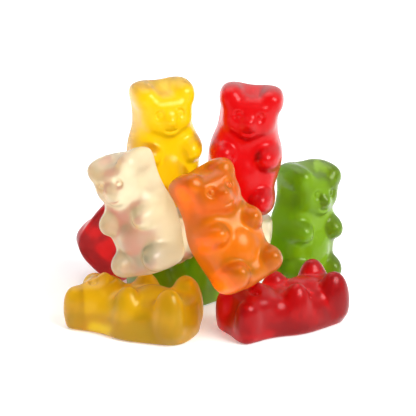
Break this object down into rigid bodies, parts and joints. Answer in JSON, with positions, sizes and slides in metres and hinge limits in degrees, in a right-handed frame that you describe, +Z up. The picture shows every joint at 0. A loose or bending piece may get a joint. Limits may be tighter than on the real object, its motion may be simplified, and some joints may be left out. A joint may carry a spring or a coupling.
{
  "type": "heap of gummy bears",
  "caption": "A heap of translucent gummy bears in several fruit colours, some lying on their flat backs and some standing or leaning on them.",
  "frame": {"origin": "middle of the heap's base, on the surface that it rests on", "axes": "+Z up, -Y towards the side that the heap is looked at from, +X to that viewer's right"},
  "size_m": [0.0474, 0.041, 0.0393],
  "materials": {
    "yellow_gummy": "translucent yellow gelatine jelly with a soft oiled sheen",
    "red_gummy": "translucent red gelatine jelly with a soft oiled sheen",
    "clear_gummy": "nearly colourless, cream tinted gelatine jelly with a soft oiled sheen",
    "orange_gummy": "translucent orange gelatine jelly with a soft oiled sheen",
    "green_gummy": "translucent green gelatine jelly with a soft oiled sheen"
  },
  "bodies": {
    "root": {"bear_yellow_standing": "yellow_gummy", "bear_red_standing": "red_gummy", "bear_clear_leaning": "clear_gummy", "bear_orange_leaning": "orange_gummy", "bear_green_standing": "green_gummy", "bear_yellow_lying": "yellow_gummy", "bear_red_lying": "red_gummy", "bear_red_behind": "red_gummy", "bear_green_under": "green_gummy", "bear_clear_under": "clear_gummy"}
  },
  "joints": []
}
